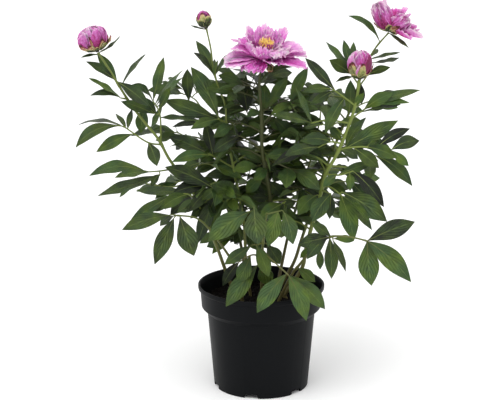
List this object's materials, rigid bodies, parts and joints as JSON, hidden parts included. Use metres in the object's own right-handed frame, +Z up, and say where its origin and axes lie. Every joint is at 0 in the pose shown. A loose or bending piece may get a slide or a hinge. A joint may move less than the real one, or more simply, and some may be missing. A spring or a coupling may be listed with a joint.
{
  "type": "potted peony",
  "caption": "Flowering herbaceous peony with compound leaves, an open pink bloom and buds, in a round black nursery pot with a deep collar.",
  "frame": {"origin": "centre of the pot's floor disc, on the plane that it stands on", "axes": "+Z up, +X to the right of the front view, the front at -Y"},
  "size_m": [0.6118, 0.4494, 0.6948],
  "materials": {
    "pot_plastic": "black moulded polypropylene, satin",
    "potting_mix": "damp dark peat and bark potting mix, rough",
    "foliage": "living leaves and stems, waxy satin green",
    "open_petals": "soft lilac-pink petals, paler at the edges",
    "bud_petals": "deeper pink petals, faintly silky",
    "stamens": "golden yellow anthers, powdery",
    "sepals": "green to cream sepals with reddish edges, satin"
  },
  "bodies": {
    "root": {"pot": "pot_plastic", "soil": "potting_mix", "stem_left_bud": "foliage", "stem_small_bud": "foliage", "stem_open_bloom": "foliage", "stem_right_bud": "foliage", "stem_upper_bloom": "foliage", "stem_low_left": "foliage", "stem_low_front": "foliage", "stem_low_right": "foliage", "stem_back_left": "foliage", "stem_back_right": "foliage", "open_bloom_petals": "open_petals", "open_bloom_stamens": "stamens", "open_bloom_calyx": "sepals", "upper_bloom_petals": "bud_petals", "upper_bloom_calyx": "sepals", "left_bud_petals": "bud_petals", "left_bud_calyx": "sepals", "right_bud_petals": "bud_petals", "right_bud_calyx": "sepals", "small_bud_petals": "bud_petals", "small_bud_calyx": "sepals"}
  },
  "joints": []
}
